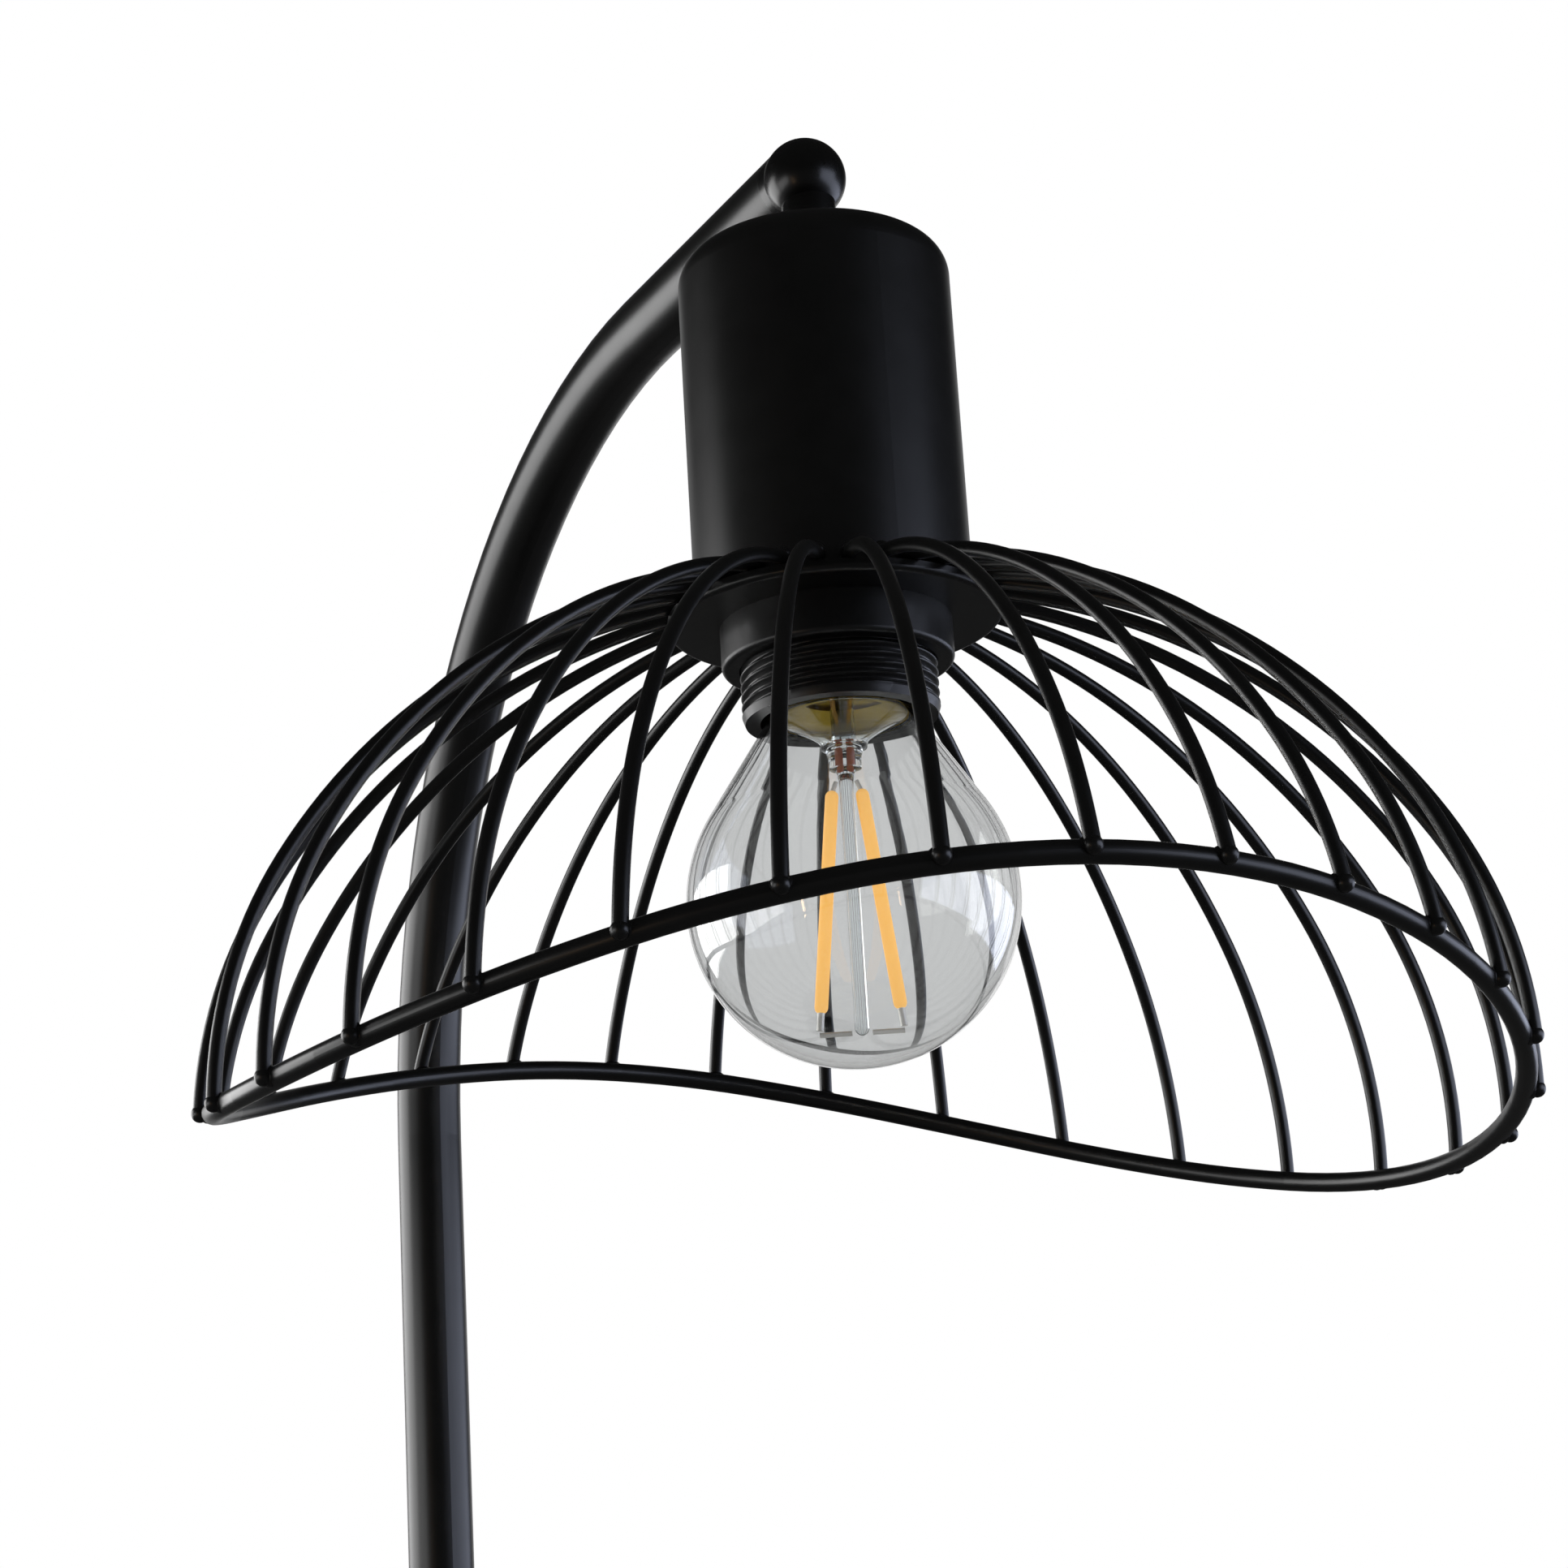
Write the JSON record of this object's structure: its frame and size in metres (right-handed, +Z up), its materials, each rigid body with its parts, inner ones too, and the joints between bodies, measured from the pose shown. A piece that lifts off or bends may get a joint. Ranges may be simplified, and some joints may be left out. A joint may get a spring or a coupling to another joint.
{
  "type": "table lamp",
  "caption": "Small table lamp: a bent tube on a round base carries a hanging lampholder cup, a screw-in filament bulb and a domed wire shade with a wavy rim.",
  "frame": {"origin": "middle of the underside of the base, on the axis of the pole", "axes": "+Z up along the pole, +X along the arm towards the head"},
  "size_m": [0.3491, 0.1803, 0.4538],
  "materials": {
    "black_powder_coat": "satin",
    "black_gloss_coat": "semi-gloss",
    "black_moulding": "satin",
    "core_moulding": "matte",
    "zinc_steel": "zinc plated",
    "contact_brass": "stamped",
    "nickel_cap": "nickel plated",
    "solder_tip": "dull",
    "cap_glass": "glossy",
    "clear_glass": "polished",
    "phosphor_filament": "matte",
    "nickel_wire": "drawn",
    "foam_pad": "matte",
    "lead_jacket": "satin"
  },
  "bodies": {
    "lamp": {"base_plate": "black_powder_coat", "foot_flange": "black_powder_coat", "pole_tube": "black_powder_coat", "holder_cup": "black_powder_coat", "shade_disc": "black_powder_coat", "shade_rim": "black_powder_coat", "shade_rib_01": "black_powder_coat", "shade_rib_02": "black_powder_coat", "shade_rib_03": "black_powder_coat", "shade_rib_04": "black_powder_coat", "shade_rib_05": "black_powder_coat", "shade_rib_06": "black_powder_coat", "shade_rib_07": "black_powder_coat", "shade_rib_08": "black_powder_coat", "shade_rib_09": "black_powder_coat", "shade_rib_10": "black_powder_coat", "shade_rib_11": "black_powder_coat", "shade_rib_12": "black_powder_coat", "shade_rib_13": "black_powder_coat", "shade_rib_14": "black_powder_coat", "shade_rib_15": "black_powder_coat", "shade_rib_16": "black_powder_coat", "shade_rib_17": "black_powder_coat", "shade_rib_18": "black_powder_coat", "shade_rib_19": "black_powder_coat", "shade_rib_20": "black_powder_coat", "shade_rib_21": "black_powder_coat", "shade_rib_22": "black_powder_coat", "shade_rib_23": "black_powder_coat", "shade_rib_24": "black_powder_coat", "shade_rib_25": "black_powder_coat", "shade_rib_26": "black_powder_coat", "shade_rib_27": "black_powder_coat", "shade_rib_28": "black_powder_coat", "shade_rib_29": "black_powder_coat", "shade_rib_30": "black_powder_coat", "arm_knuckle": "black_gloss_coat", "holder_cap": "black_moulding", "holder_skirt": "black_moulding", "shade_ring": "black_moulding", "cord_grommet": "black_moulding", "holder_core": "core_moulding", "base_screw": "zinc_steel", "cup_nut": "zinc_steel", "cup_washer": "zinc_steel", "hanger_nipple": "zinc_steel", "terminal_screws": "zinc_steel", "screw_shell": "contact_brass", "centre_contact": "contact_brass", "base_pad": "foam_pad", "inner_lead": "lead_jacket"},
    "bulb_tip": {"tip_contact": "solder_tip", "cap_insulator": "cap_glass"},
    "bulb": {"bulb_glass": "clear_glass", "bulb_cap": "nickel_cap", "bulb_stem": "clear_glass", "led_filaments": "phosphor_filament", "support_wires": "nickel_wire"}
  },
  "joints": [
    {"name": "bulb_slide", "type": "slide", "parent": "lamp", "child": "bulb_tip", "axis": [0, 0, -1], "range_m": [0, 0.01268]},
    {"name": "bulb_turn", "type": "hinge", "parent": "bulb_tip", "child": "bulb", "pos_m": [0.1702, 0, 0.379], "axis": [0, 0, -1], "range_deg": [0, 1620]}
  ],
  "couplings": [
    {"joint": "bulb_turn", "follows": "bulb_slide", "rad_per_m": 2228.1}
  ]
}
